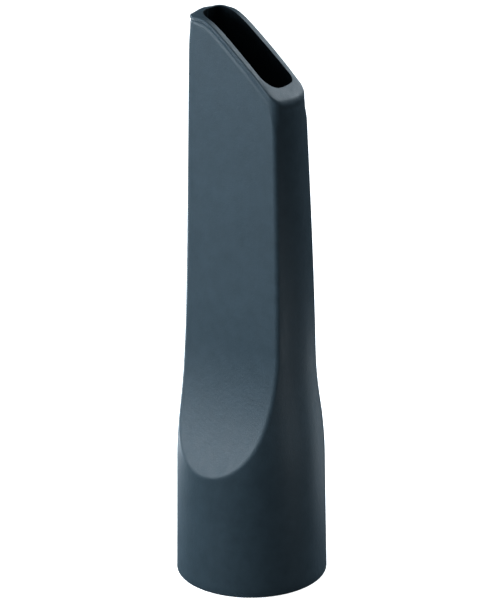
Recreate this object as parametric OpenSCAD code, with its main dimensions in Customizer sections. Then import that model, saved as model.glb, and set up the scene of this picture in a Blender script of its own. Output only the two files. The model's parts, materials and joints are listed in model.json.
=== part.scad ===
// Crevice nozzle for a vacuum cleaner with 35 mm tubes: one hollow moulding.
// A round socket at the bottom passes through two scooped faces into a flat blade,
// whose mouth is cut on a slant. Millimetres, +Z up, origin at the middle of the
// socket's rim. The blade is wide along X and thin along Y, and its mouth is highest
// on the -X side.

/* [Socket] */
// Outside diameter at the rim
socket_od = 40; // [39:0.5:42]
// Inside diameter, a sliding fit on the tube
bore_d = 35.2; // [35:0.1:35.6]
// Depth from the rim to the stop shoulder
bore_depth = 30; // [24:1:30]
// Height of the lead-in chamfer at the rim
lead_in = 1.2; // [0.6:0.1:2]
// Chamfer on the rim's outer edge
rim_chamfer = 0.4; // [0.2:0.1:0.8]
// Inside diameter just above the stop shoulder
throat_d = 33.2; // [32:0.2:34]

/* [Neck] */
// Height at which the socket begins to narrow
neck_start = 31.2; // [30:0.2:32]
// Height at which it reaches the blade's width
neck_end = 61.2; // [56:0.2:62]
// Height of the lowest point of each scoop
scoop_start = 32.8; // [32:0.2:36]
// Height at which each scoop runs out into the blade's face
scoop_end = 68; // [66:1:72]

/* [Blade] */
// Overall height, up to the crest of the mouth
overall_h = 152.7; // [135:0.1:170]
// Width of the blade at the reference height
blade_w = 35.2; // [34:0.1:36]
// Thickness of the blade at the reference height
blade_t = 16.6; // [15.6:0.2:18]
// Height at which the blade's width and thickness are given
blade_ref_h = 60; // [58:1:62]
// Draft of the narrow side under the crest, in degrees
crest_draft = 1.5; // [1.2:0.05:2]
// Draft of the narrow side under the toe of the cut, in degrees
toe_draft = 2.15; // [1.6:0.05:2.4]
// Draft of the broad faces, in degrees
face_draft = 1.23; // [0.9:0.01:1.4]
// Radius of the bow across the narrow sides
side_bow_r = 19; // [18:0.2:24]
// Radius of the four long edges
edge_r = 1.8; // [1:0.1:2.2]

/* [Mouth] */
// Angle of the cut below the horizontal, in degrees
mouth_angle = 38.2; // [30:0.2:44]
// Distance from the axis to where the flat crest meets the slanted cut
crest_x = 8.7; // [7:0.1:10]
// Radius between the crest and the slanted cut
crest_r = 8; // [3:0.5:9]
// Radius between the slanted cut and the low side
toe_r = 1; // [0.5:0.5:3]

/* [Walls] */
// Thickness of the broad faces
face_wall = 1.7; // [1.5:0.1:2]
// Thickness of the narrow side under the crest
crest_wall = 2.1; // [2:0.1:2.8]
// Thickness of the narrow side under the toe of the cut
toe_wall = 3.3; // [2.4:0.1:3.6]
// Corner radius of the duct on the crest's side
duct_crest_r = 4; // [3:0.1:4]
// Corner radius of the duct on the toe's side
duct_toe_r = 2.8; // [2:0.1:4]

/* [Hidden] */
$fn = 96;

eps = 0.01;
hull_slice = 0.1;        // thickness of the end slices that a hull is stretched between
cut_over = 10;           // how far a cutter passes the surface that it cuts
collar_taper = 0.0141;   // loss of radius per millimetre of height, on the collar
throat_taper = 0.08;     // the same, in the throat above the stop shoulder
lead_in_slope = 0.7;     // gain of radius per millimetre towards the rim, in the lead-in
neck_fade = 0.6;         // how far inside the blade's narrow sides the neck's top ends
neck_steps = 8;          // cones that the neck's curve is made of
scoop_overlap = 2;       // how far below the scoops' upper ends the neck stops
blade_bottom = 50;       // the blade and the duct start inside the neck
duct_bottom = 44;

rim_r = socket_od / 2;
bore_r = bore_d / 2;
duct_top = overall_h + cut_over;

function collar_r(z) = rim_r - collar_taper * z;

// Half width, middle and half thickness of the blade at height z
function half_w(z) = blade_w / 2 - (z - blade_ref_h) * (tan(crest_draft) + tan(toe_draft)) / 2;
function middle_x(z) = (z - blade_ref_h) * (tan(crest_draft) - tan(toe_draft)) / 2;
function half_t(z) = blade_t / 2 - (z - blade_ref_h) * tan(face_draft);

// Each scoop is an arc that runs upright into the blade's face
scoop_rise = scoop_end - scoop_start;
scoop_depth = collar_r(scoop_start) - half_t(scoop_end);
scoop_r = scoop_rise / sin(2 * atan(scoop_depth / scoop_rise));
neck_top = scoop_end - scoop_overlap;

// The neck narrows along two equal arcs that meet halfway up it
neck_rise = neck_end - neck_start;
neck_depth = collar_r(neck_start) - half_w(neck_end);
neck_arc_r = (neck_rise * neck_rise + neck_depth * neck_depth) / (4 * neck_depth);
function sagitta(d) = neck_arc_r - sqrt(neck_arc_r * neck_arc_r - d * d);
function neck_r(z) = 2 * (z - neck_start) < neck_rise
    ? collar_r(neck_start) - sagitta(z - neck_start)
    : half_w(neck_end) + sagitta(neck_end - z);

function polar(angle, r) = r * [cos(angle), sin(angle)];

// What a round of radius r takes off the corner p, whose edges leave at angles a1 and a2
module corner_cut(p, a1, a2, r) {
    half = (a2 - a1) / 2;
    centre = p + polar(a1 + half, r / sin(half));
    kite = [p + polar(a1, r / tan(half)), p, p + polar(a2, r / tan(half))];
    overshoot = 1.3;
    difference() {
        polygon([centre, for (q = kite) centre + overshoot * (q - centre)]);
        translate(centre) circle(r);
    }
}

// Side view (X, Z) of the material that the mouth's cut leaves
module mouth_profile() {
    far = 2 * rim_r;
    fall = tan(mouth_angle);
    lean = tan(toe_draft);
    top_x = middle_x(overall_h) + half_w(overall_h);
    toe_x = (top_x + crest_x * fall * lean) / (1 - fall * lean);
    crest = [-crest_x, overall_h];
    toe = [toe_x, overall_h - (toe_x + crest_x) * fall];
    difference() {
        polygon([[-far, -cut_over], [far, -cut_over], [far, overall_h - (far + crest_x) * fall],
                 crest, [-far, overall_h]]);
        corner_cut(crest, 180, 360 - mouth_angle, crest_r);
        corner_cut(toe, 180 - mouth_angle, 270 + toe_draft, toe_r);
    }
}

// Half profile (radius, Z) of the round part: the collar, then the narrowing neck
module neck_profile() {
    polygon([[0, 0], [rim_r - rim_chamfer, 0], [rim_r, rim_chamfer],
             for (i = [0:neck_steps])
                 let (z = neck_start + i * neck_rise / neck_steps) [neck_r(z), z],
             [half_w(neck_top) - neck_fade, neck_top], [0, neck_top]]);
}

// Cutters of the two scoops, or of the same arcs set in by a wall
module scoop_cutters(wall = 0) {
    for (side = [-1, 1])
        translate([0, side * (half_t(scoop_end) + scoop_r), scoop_end])
            rotate([0, 90, 0])
                cylinder(h = 4 * rim_r, r = scoop_r + wall, center = true, $fn = 240);
}

// Outline of the blade: flat faces, bowed narrow sides and rounded long edges
module blade_section(w, t) {
    offset(r = edge_r, $fn = 32)
        intersection() {
            square([2 * w, 2 * (t - edge_r)], center = true);
            intersection_for (side = [-1, 1])
                translate([side * (side_bow_r - w), 0]) circle(side_bow_r - edge_r);
        }
}

module blade() {
    hull()
        for (z = [blade_bottom, overall_h])
            translate([middle_x(z), 0, z])
                linear_extrude(hull_slice) blade_section(half_w(z), half_t(z));
}

module outside() {
    intersection() {
        union() {
            difference() {
                rotate_extrude() neck_profile();
                scoop_cutters();
            }
            blade();
        }
        rotate([90, 0, 0]) linear_extrude(4 * rim_r, center = true) mouth_profile();
    }
}

// The socket that slips over the tube: a lead-in and a bore up to the stop shoulder
module socket() {
    translate([0, 0, -eps])
        cylinder(h = lead_in + eps, r1 = bore_r + lead_in * lead_in_slope, r2 = bore_r);
    translate([0, 0, lead_in - eps]) cylinder(h = bore_depth - lead_in + eps, r = bore_r);
}

// The round passage above the shoulder, flattened where the scoops come in
module throat() {
    h = neck_top - bore_depth;
    difference() {
        translate([0, 0, bore_depth - eps])
            cylinder(h = h, r1 = throat_d / 2, r2 = throat_d / 2 - throat_taper * h);
        scoop_cutters(face_wall);
    }
}

// One rounded corner of the duct at height z, at distance x from the blade's middle
module duct_corner(x, side, z, r) {
    translate([middle_x(z) + x, side * (half_t(z) - face_wall - r), z])
        cylinder(h = hull_slice, r = r, $fn = 48);
}

// The flat passage inside the blade
module duct() {
    hull()
        for (z = [duct_bottom, duct_top], side = [-1, 1]) {
            duct_corner(crest_wall + duct_crest_r - half_w(z), side, z, duct_crest_r);
            duct_corner(half_w(z) - toe_wall - duct_toe_r, side, z, duct_toe_r);
        }
}

module nozzle_body() {
    color([0.25, 0.31, 0.35])
        difference() {
            outside();
            socket();
            throat();
            duct();
        }
}

nozzle_body();
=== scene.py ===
"""Crevice nozzle: the visible moulding, its matte plastic, the camera and the studio."""

import json
import math

import bpy
import numpy as np
from mathutils import Matrix, Vector


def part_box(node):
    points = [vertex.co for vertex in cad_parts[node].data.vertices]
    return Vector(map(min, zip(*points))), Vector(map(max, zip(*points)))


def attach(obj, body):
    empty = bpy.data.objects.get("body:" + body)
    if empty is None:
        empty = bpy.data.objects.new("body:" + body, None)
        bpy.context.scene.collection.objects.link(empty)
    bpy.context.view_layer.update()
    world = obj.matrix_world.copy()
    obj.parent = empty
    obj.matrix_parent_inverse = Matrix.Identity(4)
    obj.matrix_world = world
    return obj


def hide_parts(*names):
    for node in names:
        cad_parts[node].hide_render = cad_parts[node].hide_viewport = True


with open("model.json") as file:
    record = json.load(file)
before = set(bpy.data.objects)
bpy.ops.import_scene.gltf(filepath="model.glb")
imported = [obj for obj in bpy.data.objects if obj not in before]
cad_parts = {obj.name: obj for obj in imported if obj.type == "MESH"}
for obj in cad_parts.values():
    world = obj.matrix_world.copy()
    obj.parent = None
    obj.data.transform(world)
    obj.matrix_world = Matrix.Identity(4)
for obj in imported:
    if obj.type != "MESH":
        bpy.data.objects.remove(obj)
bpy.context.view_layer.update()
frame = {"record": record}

MM = 0.001
NODE = "nozzle_body"

# ---------------------------------------------------------------- driving sizes, in millimetres
_, high_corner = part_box(NODE)
SOCKET = next(m for m in frame["record"]["mounts"] if m["name"] == "tube_socket")

LIP_BELOW_CAD = 0.2            # the lip's rounds end this far below the CAD's sharp edge
HEIGHT = high_corner.z / MM - LIP_BELOW_CAD
RIM_R = high_corner.x / MM
RIM_ROUND = 0.4
BORE_R = SOCKET["dims"]["r_mm"]
LEAD_IN = 1.2                  # height of the chamfer at the bore's mouth
LEAD_IN_SLOPE = 0.7
BORE_EDGE_IN, BORE_EDGE_DOWN = 0.12, 0.06  # chamfer where the bore meets its stop shoulder
RIM_INNER_EDGE = 0.1
BORE_TOP = LEAD_IN + SOCKET["dims"]["length_mm"]
SHOULDER_ROUND = 0.4
THROAT_R = 16.6
THROAT_TAPER = 0.08
THROAT_EDGE_R = 1.0            # round between the throat and the scooped faces
DUCT_BLEND_TOP, DUCT_BLEND_GAIN, DUCT_BLEND_RISE = 0.05, 1.2, 12.0  # the throat into the duct
COLLAR_TAPER = 0.0141

NECK_START, NECK_END = 31.2, 61.2
SCOOP_START, SCOOP_END = 32.8, 68.0
BLADE_REF = 60.0               # height at which the two half sizes below are given
BLADE_HALF_W = 17.61
BLADE_HALF_T = 8.3
SIDE_SLOPE = math.tan(math.radians(1.77))
FACE_SLOPE = math.tan(math.radians(1.27))
SIDE_BOW_R = 19.0
LEAN_START = 40.0
BLADE_LEAN = -0.0057           # shift along X per millimetre, from the unequal drafts
BLADE_LEAN_Y = -0.0008
BLADE_WARP = 0.35              # largest shift from a slight warp, a third of the way up the blade
WARP_PEAK = 27 / 4             # makes share * (1 - share) ** 2 reach 1 there
LONG_EDGE_R = 1.5
CREST_EDGE_R, TOE_EDGE_R = 2.4, 3.0  # radius of the long edges at the mouth
TIP_BOW_R = 18.3
TIP_FROM = 0.93                # share of the blade's height at which it begins to change to these
SCOOP_EDGE_R = 1.3             # the round at the bottom of each scoop
SCOOP_EDGE_RISE = 20.0         # height in which it becomes the long edges' round
COLLAR_TOP = 18.0              # up to here the socket's rings are exact circles
SCOOP_MARGIN = 4.0             # the fine rings start this far below the scoops

MOUTH_MID = 145.85             # height of the slanted cut on the axis
MOUTH_FALL, MOUTH_CURVE = 0.775, 0.0035
CREST_TILT, CREST_BLEND = -0.01, 1.35
FACE_WALL, CREST_WALL, TOE_WALL = 1.62, 2.05, 3.35
DUCT_CREST_R, DUCT_TOE_R = 4.0, 2.8
DUCT_SIDE_R = 400.0
MOUTH_CREST_R, MOUTH_TOE_R, MOUTH_BACK_R = 5.0, 3.9, 1.8
MOUTH_BOW_R = 21.0
LIP_FACE_R, LIP_CREST_R, LIP_TOE_R = 0.45, 0.7, 0.75
LIP_INNER_R = 0.15
LIP_SIDE_SHARE = 0.6           # share of the narrow side over which the lip keeps its own radius
CREST_CORNER_DROP, TOE_CORNER_DROP, CORNER_FADE_COLS = 0.32, 0.11, 20
GROOVE_TOP, GROOVE_WIDTH, GROOVE_CUT = 0.6, 1.8, 0.14
GROOVE_FOOT = GROOVE_TOP + GROOVE_WIDTH + 0.3  # the blade's plain surface ends at this depth
GROOVE_TOE_SHARE = 0.3         # share of the groove's cut that is left at the toe
BEAD, BEAD_FOOT, BEAD_SLOPE = 0.3, 1.2, 0.8
GROOVE_FADE_X, GROOVE_FADE_LENGTH = 12.0, 12.0  # it gets shallower up to this X, over this length

PASSAGE = "passage"            # mesh attribute: 1 on the passage's surface, 0 on the outside; it places the painted shade and the lower gloss
# painted shade: inside the passage the plastic's colour is multiplied down to the first value,
# darkening it like shade; its gloss goes down to the second
PASSAGE_PAINTED_SHADE, PASSAGE_GLOSS = 0.12, 0.02
PLASTIC_COLOUR = (0.0325, 0.050, 0.0625, 1)

# how many rings each stretch has
ROUND_RINGS, COLLAR_RINGS, SCOOP_RINGS, BLADE_RINGS, TIP_RINGS = 5, 8, 104, 16, 10
GROOVE_RINGS, LIP_RINGS, LIP_INNER_RINGS, FLAT_RINGS = 13, 9, 6, 4
DUCT_RINGS, THROAT_RINGS, BORE_RINGS = 14, 30, 12

# searches for a ring's place
MOUTH_GUESS, MOUTH_STEPS = 140.0, 5
CAST_REACH, CAST_STEPS = 1.5, 30   # in socket radii, and halvings
SLOPE_STEP = 0.1
COLUMNS_EVEN_TO, COLUMNS_CHANGE_RISE = 20.0, 42.0  # where columns turn from even to the blade's own

# columns round the moulding, for a quarter turn
SIDE_COLS, CORNER_COLS, FACE_COLS = 18, 16, 62
QUARTER = SIDE_COLS + CORNER_COLS + FACE_COLS
COLUMNS = 4 * QUARTER
COLUMN = np.arange(COLUMNS)
TURN = COLUMN // QUARTER
STEP = np.where(TURN % 2 == 0, COLUMN % QUARTER, QUARTER - COLUMN % QUARTER)
SIGN_X = np.where((TURN == 0) | (TURN == 3), 1.0, -1.0)
SIGN_Y = np.where(TURN < 2, 1.0, -1.0)
ON_SIDE = STEP < SIDE_COLS
ON_CORNER = (STEP >= SIDE_COLS) & (STEP < SIDE_COLS + CORNER_COLS)
SHARE = np.where(ON_SIDE, STEP / SIDE_COLS,
                 np.where(ON_CORNER, (STEP - SIDE_COLS) / CORNER_COLS,
                          (STEP - SIDE_COLS - CORNER_COLS) / FACE_COLS))


def ease(t):
    t = np.clip(t, 0.0, 1.0)
    return t * t * (3.0 - 2.0 * t)


# ---------------------------------------------------------------- sizes that change with height
def half_w(z):
    return BLADE_HALF_W - (z - BLADE_REF) * SIDE_SLOPE


def half_t(z):
    return BLADE_HALF_T - (z - BLADE_REF) * FACE_SLOPE


def collar_r(z):
    return RIM_R - COLLAR_TAPER * z


def neck_r(z):
    """Half width of the socket and neck, which narrows along two equal arcs."""
    rise = NECK_END - NECK_START
    depth = collar_r(NECK_START) - half_w(NECK_END)
    radius = (rise * rise + depth * depth) / (4 * depth)

    def sagitta(d):
        return radius - np.sqrt(radius * radius - np.clip(d, 0, rise / 2) ** 2)

    upper = half_w(np.maximum(z, NECK_END)) + sagitta(NECK_END - z)
    lower = collar_r(np.minimum(z, NECK_START)) - sagitta(z - NECK_START)
    return np.where(2 * (z - NECK_START) < rise, lower, upper)


def side_bow(z):
    """Radius of the bow across the narrow sides, which is the collar's own below the neck."""
    return neck_r(z) + (SIDE_BOW_R - neck_r(z)) * ease((z - NECK_START) / (NECK_END - NECK_START))


def scoop_radius():
    rise = SCOOP_END - SCOOP_START
    depth = collar_r(SCOOP_START) - half_t(SCOOP_END)
    return rise / math.sin(2 * math.atan(depth / rise))


def scoop_distance(y, z, wall=0.0):
    """Distance outside the scooped face, or the passage's face a wall inside it, and the
    share of its normal that lies along Y."""
    radius = scoop_radius()
    across, below = half_t(SCOOP_END) + radius - np.abs(y), SCOOP_END - z
    reach = np.hypot(across, below)
    scooped = radius - reach + wall
    flat = np.abs(y) - half_t(z) + wall
    return np.where(below > 0, scooped, flat), np.where(below > 0, across / reach, 1.0)


def rounded_edge(a, b, cosine, r):
    """Distance outside two surfaces whose edge is rounded by r; cosine is between their normals."""
    p, q = a + r, b + r
    c = np.clip(cosine, -0.9, 0.995)
    on_round = (p > q * c) & (q > p * c)
    apex = np.sqrt(np.maximum(p * p + q * q - 2 * p * q * c, 0) / (1 - c * c))
    return np.where(on_round, apex, np.maximum(p, q)) - r


def outer_field(x, y, z):
    centre = neck_r(z) - side_bow(z)
    reach = np.hypot(np.abs(x) - centre, y)
    face, face_y = scoop_distance(y, z)
    to_blade = ease((z - SCOOP_START) / SCOOP_EDGE_RISE)
    edge = SCOOP_EDGE_R + (LONG_EDGE_R - SCOOP_EDGE_R) * to_blade
    return rounded_edge(face, reach - side_bow(z), face_y * np.abs(y) / reach, edge)


def inner_field(x, y, z):
    reach = np.hypot(x, y)
    face, face_y = scoop_distance(y, z, FACE_WALL)
    throat_r = THROAT_R - THROAT_TAPER * (z - BORE_TOP)
    throat = rounded_edge(face, reach - throat_r, face_y * np.abs(y) / reach, THROAT_EDGE_R)
    r = np.where(x < 0, DUCT_CREST_R, DUCT_TOE_R)
    w = half_w(z) - np.where(x < 0, CREST_WALL, TOE_WALL)
    beyond_x, beyond_y = np.abs(x) - (w - r), np.abs(y) - (half_t(z) - FACE_WALL - r)
    duct = (np.hypot(np.maximum(beyond_x, 0), np.maximum(beyond_y, 0))
            + np.minimum(np.maximum(beyond_x, beyond_y), 0) - r)
    blend = DUCT_BLEND_TOP + DUCT_BLEND_GAIN * ease((SCOOP_END - z) / DUCT_BLEND_RISE)
    mix = np.clip(0.5 + 0.5 * (throat - duct) / blend, 0, 1)
    return throat * (1 - mix) + duct * mix - blend * mix * (1 - mix)


# ---------------------------------------------------------------- rings: one point for each column
def outline(w, t, bow, r):
    """A flat outline with bowed narrow sides of radius bow and corners of radius r."""
    centre, corner_y = w - bow, t - r
    corner_x = centre + np.sqrt((bow - r) ** 2 - corner_y ** 2)
    side_angle = np.arctan2(corner_y, corner_x - centre)
    angle = np.where(ON_SIDE, side_angle * SHARE, side_angle + (math.pi / 2 - side_angle) * SHARE)
    x = np.where(ON_SIDE, centre + bow * np.cos(angle),
                 np.where(ON_CORNER, corner_x + r * np.cos(angle), corner_x * (1 - SHARE)))
    y = np.where(ON_SIDE, bow * np.sin(angle), np.where(ON_CORNER, corner_y + r * np.sin(angle), t))
    return np.column_stack([SIGN_X * x, SIGN_Y * y])


def blade(z, inset=0.0, tip=0.0):
    """The blade's outline; tip is 1 at the mouth, where its corners are rounder."""
    tip_r = np.where(SIGN_X < 0, CREST_EDGE_R, TOE_EDGE_R)
    r = LONG_EDGE_R + (tip_r - LONG_EDGE_R) * tip
    bow = SIDE_BOW_R + (TIP_BOW_R - SIDE_BOW_R) * tip
    return outline(half_w(z) - inset, half_t(z) - inset, bow - inset, r - inset)


def duct(z, outset=0.0, tip=0.0):
    """The passage's outline; at the mouth its ends are bowed and each corner has its own radius."""
    wall = np.where(SIGN_X < 0, CREST_WALL, TOE_WALL)
    r = np.where(SIGN_X < 0, DUCT_CREST_R, DUCT_TOE_R)
    mouth_r = np.where(SIGN_Y < 0, np.where(SIGN_X < 0, MOUTH_CREST_R, MOUTH_TOE_R), MOUTH_BACK_R)
    bow = 1 / (1 / DUCT_SIDE_R + (1 / MOUTH_BOW_R - 1 / DUCT_SIDE_R) * tip)
    return outline(half_w(z) - wall + outset, half_t(z) - FACE_WALL + outset,
                   bow + outset, r + (mouth_r - r) * tip + outset)


def shift_x(z):
    """Shift of the blade along X: its narrow sides have different drafts, and it is warped."""
    share = np.clip((z - NECK_END) / (HEIGHT - NECK_END), 0, 1)
    warp = BLADE_WARP * WARP_PEAK * share * (1 - share) ** 2
    return BLADE_LEAN * np.maximum(z - LEAN_START, 0) + warp


def mouth_z(x):
    """Height of the mouth's cut: the crest, a blend, then the slant, which steepens to the toe."""
    x = x + shift_x(HEIGHT)
    slant = MOUTH_MID - MOUTH_FALL * x - MOUTH_CURVE * np.maximum(x, 0) ** 2
    crest = HEIGHT + CREST_TILT * (x + half_w(HEIGHT))
    blend = CREST_BLEND
    return np.minimum(slant, crest) - blend * np.log1p(np.exp(-np.abs(slant - crest) / blend))


def at_height(section, z):
    return np.column_stack([section(np.full(COLUMNS, z)), np.full(COLUMNS, z)])


def steepness(x):
    """Height along the cut's normal becomes height along Z when it is multiplied by this."""
    return np.hypot(1, (mouth_z(x + SLOPE_STEP) - mouth_z(x - SLOPE_STEP)) / (2 * SLOPE_STEP))


def below_mouth(section, inset, depth):
    """The section's ring that lies depth below the mouth's cut, in every column."""
    z = np.full(COLUMNS, MOUTH_GUESS)
    for _ in range(MOUTH_STEPS):
        ring = section(z, inset, 1.0)
        z = mouth_z(ring[:, 0]) - depth * steepness(ring[:, 0])
    return np.column_stack([ring, z])


def between(section, low, high, shares, tip_from):
    """Rings of the section on the way from ring low to ring high; it turns into the tip's shape
    from the share tip_from onwards."""
    rings = []
    for share in shares:
        z = low[:, 2] + (high[:, 2] - low[:, 2]) * share
        tip = ease((share - tip_from) / (1 - tip_from))
        rings.append(np.column_stack([section(z, 0.0, tip), z]))
    return rings


def column_angles(section, z):
    """Directions of the columns: even round the socket, and the section's own in the blade."""
    corner = section(np.full(COLUMNS, SCOOP_END))
    own = np.arctan2(corner[:, 1], corner[:, 0]) % (2 * math.pi)
    even = COLUMN * 2 * math.pi / COLUMNS
    return even + (own - even) * ease((z - COLUMNS_EVEN_TO) / COLUMNS_CHANGE_RISE)


def cast(field, section, z):
    """The ring where the field is zero at height z, found along each column's direction."""
    angle = column_angles(section, z)
    x, y = np.cos(angle), np.sin(angle)
    near, far = np.zeros(COLUMNS), np.full(COLUMNS, CAST_REACH * RIM_R)
    for _ in range(CAST_STEPS):
        middle = (near + far) / 2
        inside = field(middle * x, middle * y, z) < 0
        near, far = np.where(inside, middle, near), np.where(inside, far, middle)
    return np.column_stack([near * x, near * y, np.full(COLUMNS, z)])


def circle(r, z):
    angle = COLUMN * 2 * math.pi / COLUMNS
    return np.column_stack([r * np.cos(angle), r * np.sin(angle), np.full(COLUMNS, z)])


# ---------------------------------------------------------------- the moulding, ring by ring
def lip_radii():
    """Radius of the lip's outer round: larger on the narrow sides than along the faces."""
    start = LIP_SIDE_SHARE * SIDE_COLS
    to_face = ease((STEP - start) / (CORNER_COLS + (1 - LIP_SIDE_SHARE) * SIDE_COLS))
    end = np.where(SIGN_X < 0, LIP_CREST_R, LIP_TOE_R)
    return end + (LIP_FACE_R - end) * to_face


def corner_drop():
    """How far the lip is lowered at its four corners, fading along the faces and narrow sides."""
    from_crown = ease(STEP / SIDE_COLS)
    from_face = 1 - ease((STEP - SIDE_COLS - CORNER_COLS) / CORNER_FADE_COLS)
    return np.where(SIGN_X < 0, CREST_CORNER_DROP, TOE_CORNER_DROP) * from_crown * from_face


def lip_inset(depth):
    """How far the surface under the lip lies inside the blade's draft. The lip is a low bead with
    a shallow groove under it. Towards the toe the groove gets shallower and the bead fades out,
    and the bead also fades out on the narrow sides."""
    share = (depth - GROOVE_TOP) / GROOVE_WIDTH
    about_x = SIGN_X * (QUARTER - STEP) / QUARTER * BLADE_HALF_W
    fade = ease((GROOVE_FADE_X - about_x) / GROOVE_FADE_LENGTH)
    cut = np.where((share > 0) & (share < 1), 0.5 - 0.5 * np.cos(2 * math.pi * share), 0)
    from_crown = ease(STEP / (SIDE_COLS + CORNER_COLS))
    bead = BEAD * fade * from_crown * ease((BEAD_FOOT - depth) / BEAD_SLOPE)
    return GROOVE_CUT * cut * (GROOVE_TOE_SHARE + (1 - GROOVE_TOE_SHARE) * fade) - bead


def quarter(count):
    return np.linspace(0, math.pi / 2, count)


def socket_and_neck_rings():
    rings = [circle(RIM_R - RIM_ROUND * (1 - math.sin(a)), RIM_ROUND * (1 - math.cos(a)))
             for a in quarter(ROUND_RINGS)]
    rings += [circle(collar_r(z), z) for z in np.linspace(RIM_ROUND, COLLAR_TOP, COLLAR_RINGS)[1:]]
    fine = SCOOP_START - SCOOP_MARGIN
    rings += [cast(outer_field, blade, z) for z in np.linspace(COLLAR_TOP, fine, COLLAR_RINGS)[1:]]
    rings += [cast(outer_field, blade, z) for z in np.linspace(fine, SCOOP_END, SCOOP_RINGS)[1:-1]]
    return rings


def outside_rings():
    rings = socket_and_neck_rings()
    foot = at_height(blade, SCOOP_END)
    radii, drop = lip_radii(), corner_drop()
    start = below_mouth(blade, np.zeros(COLUMNS), np.full(COLUMNS, GROOVE_FOOT))
    shares = np.concatenate([np.linspace(0, TIP_FROM, BLADE_RINGS)[1:],
                             np.linspace(TIP_FROM, 1, TIP_RINGS)[1:]])
    rings += [foot] + between(blade, foot, start, shares, TIP_FROM)
    for share in np.linspace(0, 1, GROOVE_RINGS)[1:]:
        depth = GROOVE_FOOT * (1 - share) + radii * share
        rings.append(below_mouth(blade, lip_inset(depth), depth + drop * share))
    for a in quarter(LIP_RINGS)[1:]:
        rings.append(below_mouth(blade, radii * (1 - math.cos(a)) + lip_inset(radii),
                                 radii * (1 - math.sin(a)) + drop))
    return rings


def socket_inside_rings():
    """The stop shoulder, the bore, its lead-in and the rim, from the top down."""
    rings = [circle(THROAT_R + SHOULDER_ROUND * (1 - math.cos(a)),
                    BORE_TOP + SHOULDER_ROUND * (1 - math.sin(a)))
             for a in quarter(ROUND_RINGS)]
    rings += [circle(BORE_R - BORE_EDGE_IN, BORE_TOP), circle(BORE_R, BORE_TOP - BORE_EDGE_DOWN)]
    rings += [circle(BORE_R, z) for z in np.linspace(BORE_TOP, LEAD_IN, BORE_RINGS)[1:]]
    mouth_r = BORE_R + LEAD_IN * LEAD_IN_SLOPE
    rings += [circle(BORE_R + (mouth_r - BORE_R) * s, LEAD_IN * (1 - s)) for s in (0.08, 0.5, 0.92)]
    rings += [circle(mouth_r + RIM_INNER_EDGE, 0.0), circle((mouth_r + RIM_R - RIM_ROUND) / 2, 0.0)]
    return rings


def inside_rings(lip):
    rings = []
    rounds = [below_mouth(duct, LIP_INNER_R * (1 - math.cos(a)), LIP_INNER_R * (1 - math.sin(a)))
              for a in np.linspace(math.pi / 2, 0, LIP_INNER_RINGS)]
    for share in np.linspace(0, 1, FLAT_RINGS + 2)[1:-1]:
        ring = lip + (rounds[0] - lip) * share
        ring[:, 2] = mouth_z(ring[:, 0]) - corner_drop() * (1 - share) ** 2
        rings.append(ring)
    rings += rounds
    foot = at_height(duct, SCOOP_END)
    rings += between(duct, foot, rounds[-1], np.linspace(1, 0, DUCT_RINGS)[1:], 0.0)
    shoulder = BORE_TOP + SHOULDER_ROUND
    heights = np.linspace(SCOOP_END, shoulder, THROAT_RINGS)[1:-1]
    rings += [cast(inner_field, duct, z) for z in heights]
    return rings + socket_inside_rings()


def lean(ring):
    z = ring[:, 2:]
    return ring + np.hstack([shift_x(z), BLADE_LEAN_Y * np.maximum(z - LEAN_START, 0), 0 * z])


def moulding():
    outside = outside_rings()
    rings = [lean(ring) for ring in outside + inside_rings(outside[-1])]
    in_passage = np.repeat(np.arange(len(rings)) > len(outside) + FLAT_RINGS, COLUMNS)
    points = np.concatenate(rings) * MM
    start = (np.arange(len(rings)) * COLUMNS)[:, None]
    above = np.roll(start, -1, axis=0)
    beside = (COLUMN + 1) % COLUMNS
    faces = np.stack([start + COLUMN, start + beside, above + beside, above + COLUMN], -1)
    mesh = bpy.data.meshes.new("nozzle_moulding")
    mesh.from_pydata(points.tolist(), [], faces.reshape(-1, 4).tolist())
    mesh.polygons.foreach_set("use_smooth", [True] * len(mesh.polygons))
    attribute = mesh.attributes.new(PASSAGE, "FLOAT", "POINT")
    attribute.data.foreach_set("value", in_passage.astype(float))
    mesh.update()
    piece = bpy.data.objects.new("nozzle_moulding", mesh)
    bpy.context.scene.collection.objects.link(piece)
    return piece


# ---------------------------------------------------------------- materials
# noise scales, per metre, and how much the scuffs are stretched along the blade
GRAIN, PITS, MOTTLE, BLOTCH, SCUFFS = 2600.0, 900.0, 330.0, 45.0, 700.0
SCUFF_STRETCH = (1.0, 1.0, 0.12)
# the mottle and the blotches multiply the colour by their sum
MOTTLE_TONE, BLOTCH_TONE = (-0.09, 0.09), (0.96, 1.04)
MOTTLE_ROUGHNESS, SCUFF_ROUGHNESS = (0.44, 0.52), (-0.03, 0.03)
OUTSIDE_GLOSS = 0.25
GRAIN_HEIGHT, PITS_HEIGHT, SCUFFS_HEIGHT = 0.5, 0.8, 0.3
BUMP_STRENGTH, BUMP_DISTANCE = 0.6, 0.00009

FLOOR_COLOUR = (0.86, 0.86, 0.86, 1)
FLOOR_ROUGHNESS = 0.8
FLOOR_GLOW = 0.8               # brightens the floor; the nozzle does not receive it


def node_maker(material):
    tree = material.node_tree
    tree.nodes.clear()

    def add(kind, inputs=None, **settings):
        made = tree.nodes.new(kind)
        for key, value in settings.items():
            setattr(made, key, value)
        for key, value in (inputs or {}).items():
            if isinstance(value, bpy.types.NodeSocket):
                tree.links.new(value, made.inputs[key])
            else:
                made.inputs[key].default_value = value
        return made

    return add


def noise(add, place, scale, detail=3.0, roughness=0.6):
    made = add("ShaderNodeTexNoise", {"Vector": place, "Scale": scale, "Detail": detail,
                                      "Roughness": roughness})
    return made.outputs["Fac"]


def between_values(add, value, low, high, start=0.3, end=0.7):
    """The value's part from start to end, spread from low to high."""
    made = add("ShaderNodeMapRange", {"Value": value, "From Min": start, "From Max": end,
                                      "To Min": low, "To Max": high})
    return made.outputs["Result"]


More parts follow.
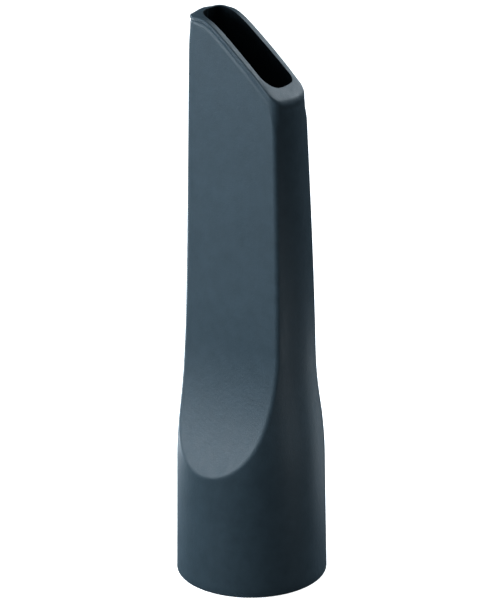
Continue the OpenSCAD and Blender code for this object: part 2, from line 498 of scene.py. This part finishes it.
def product(add, a, b):
    return add("ShaderNodeMath", {0: a, 1: b}, operation="MULTIPLY").outputs["Value"]


def total(add, a, b):
    return add("ShaderNodeMath", {0: a, 1: b}, operation="ADD").outputs["Value"]


def plastic():
    """Matte moulded plastic with a fine spark-eroded grain, mottling and faint scuffs; inside the
    passage its colour is darkened as painted shade.
    """
    material = bpy.data.materials.new("moulded_plastic")
    material.use_nodes = True
    add = node_maker(material)
    place = add("ShaderNodeTexCoord").outputs["Object"]
    passage = add("ShaderNodeAttribute", attribute_name=PASSAGE).outputs["Fac"]
    along = add("ShaderNodeMapping", {"Vector": place, "Scale": SCUFF_STRETCH})
    grain = noise(add, place, GRAIN)
    pits = noise(add, place, PITS, 4.0)
    mottle = noise(add, place, MOTTLE, 5.0, 0.65)
    blotch = noise(add, place, BLOTCH)
    scuffs = noise(add, along.outputs["Vector"], SCUFFS, 2.0)

    tone = total(add, between_values(add, mottle, *MOTTLE_TONE),
                 between_values(add, blotch, *BLOTCH_TONE))
    # painted shade: the colour is darkened over the passage, from 1 outside to the passage's share
    # inside
    shade = product(add, tone, between_values(add, passage, 1.0, PASSAGE_PAINTED_SHADE, 0.0, 1.0))
    colour = add("ShaderNodeMixRGB", {"Fac": 1.0, "Color1": PLASTIC_COLOUR, "Color2": shade},
                 blend_type="MULTIPLY")
    rough = total(add, between_values(add, mottle, *MOTTLE_ROUGHNESS),
                  between_values(add, scuffs, *SCUFF_ROUGHNESS))
    gloss = between_values(add, passage, OUTSIDE_GLOSS, PASSAGE_GLOSS, 0.0, 1.0)
    height = total(add, product(add, grain, GRAIN_HEIGHT), product(add, pits, PITS_HEIGHT))
    bump = add("ShaderNodeBump", {"Height": total(add, height, product(add, scuffs, SCUFFS_HEIGHT)),
                                  "Strength": BUMP_STRENGTH, "Distance": BUMP_DISTANCE})
    shader = add("ShaderNodeBsdfPrincipled", {
        "Base Color": colour.outputs["Color"], "Roughness": rough, "Specular IOR Level": gloss,
        "Normal": bump.outputs["Normal"], "IOR": 1.5})
    add("ShaderNodeOutputMaterial", {"Surface": shader.outputs["BSDF"]})
    return material


def floor_material():
    material = bpy.data.materials.new("studio_floor")
    material.use_nodes = True
    add = node_maker(material)
    shader = add("ShaderNodeBsdfPrincipled", {"Base Color": FLOOR_COLOUR,
                                              "Roughness": FLOOR_ROUGHNESS,
                                              "Emission Color": (1, 1, 1, 1),
                                              "Emission Strength": FLOOR_GLOW})
    add("ShaderNodeOutputMaterial", {"Surface": shader.outputs["BSDF"]})
    return material


# ---------------------------------------------------------------- camera, floor and lights
CAMERA_AZIMUTH = 39.43
CAMERA_ELEVATION = 21.31
CAMERA_ROLL = -0.38
CAMERA_DISTANCE = 0.9
CAMERA_LENS = 208.63
AIM_HEIGHT = 76.48
AIM_RIGHT = 0.52

LIGHT_COLOUR = (0.87, 1.0, 1.1)
AMBIENT = 0.01
# every light is square and faces the axis: azimuth from the camera's, elevation, power
SOFTBOXES = [
    ("left_front", -50, 5, 0.8),
    ("right_back_low", 131, 30, 5.2),
    ("right_back", 110, 42, 1.2),
    ("right_back_high", 125, 42, 2.7),
    ("top", 20, 66, 1.2),
    ("left_high", -65, 50, 1.4),
]
STRIPS = [
    ("near_left_back", -130, 20, 0.67),
    ("near_left", -75, 20, 1.05),
    ("near_left_front", -50, 20, 0.5),
]
SOCKET_LIGHTS = [
    ("socket_left_back", -132, 0, 0.13),
    ("socket_left", -100, 0, 0.008),
    ("socket_right_front", 60, 0, 0.026),
]
RIM_LIGHTS = [
    ("rim_right", 120, 0, 0.012),
]
# lights, the height in mm that they face, their distance from the axis and their width in metres
LIGHT_GROUPS = [
    (SOFTBOXES, HEIGHT / 2, 1.0, 0.45),
    (STRIPS, HEIGHT / 2, 0.35, 0.15),
    (SOCKET_LIGHTS, 25.0, 0.13, 0.05),
    (RIM_LIGHTS, 8.0, 0.1, 0.05),
]

FLOOR_HALF = 4.0               # metres


def direction(azimuth, elevation):
    a, e = math.radians(azimuth), math.radians(elevation)
    return Vector((math.sin(a) * math.cos(e), -math.cos(a) * math.cos(e), math.sin(e)))


def make_camera():
    data = bpy.data.cameras.new("camera")
    data.lens = CAMERA_LENS
    data.sensor_width = 36.0
    data.clip_start, data.clip_end = 0.01, 50.0
    camera = bpy.data.objects.new("camera", data)
    bpy.context.scene.collection.objects.link(camera)
    back = direction(CAMERA_AZIMUTH, CAMERA_ELEVATION)
    turn = (-back).to_track_quat("-Z", "Y").to_matrix()
    right = turn @ Vector((1, 0, 0))
    aim = Vector((0, 0, AIM_HEIGHT * MM)) + right * AIM_RIGHT * MM
    roll = Matrix.Rotation(math.radians(CAMERA_ROLL), 3, "Z")
    camera.matrix_world = Matrix.Translation(aim + back * CAMERA_DISTANCE) @ (turn @ roll).to_4x4()
    bpy.context.scene.camera = camera


def area_light(name, azimuth, elevation, power, middle, distance, size):
    data = bpy.data.lights.new(name, "AREA")
    data.shape = "SQUARE"
    data.size = size
    data.energy = power
    data.color = LIGHT_COLOUR
    lamp = bpy.data.objects.new(name, data)
    bpy.context.scene.collection.objects.link(lamp)
    lamp.visible_camera = False
    away = direction(CAMERA_AZIMUTH + azimuth, elevation)
    lamp.location = Vector((0, 0, middle * MM)) + away * distance
    lamp.rotation_euler = away.to_track_quat("Z", "Y").to_euler()


def make_floor():
    half = FLOOR_HALF
    mesh = bpy.data.meshes.new("floor")
    mesh.from_pydata([(-half, -half, 0), (half, -half, 0), (half, half, 0), (-half, half, 0)],
                     [], [(0, 1, 2, 3)])
    floor = bpy.data.objects.new("floor", mesh)
    floor.data.materials.append(floor_material())
    bpy.context.scene.collection.objects.link(floor)
    floor.visible_diffuse = False
    floor.visible_glossy = False


def make_lights():
    for lights, middle, distance, size in LIGHT_GROUPS:
        for light in lights:
            area_light(*light, middle, distance, size)


def make_world():
    world = bpy.data.worlds.new("studio")
    world.use_nodes = True
    background = world.node_tree.nodes["Background"]
    background.inputs["Color"].default_value = (1, 1, 1, 1)
    background.inputs["Strength"].default_value = AMBIENT
    bpy.context.scene.world = world
    bpy.context.scene.view_settings.view_transform = "Standard"


make_camera()
make_floor()
make_lights()
make_world()
piece = moulding()
piece.data.materials.append(plastic())
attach(piece, "root")
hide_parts(NODE)
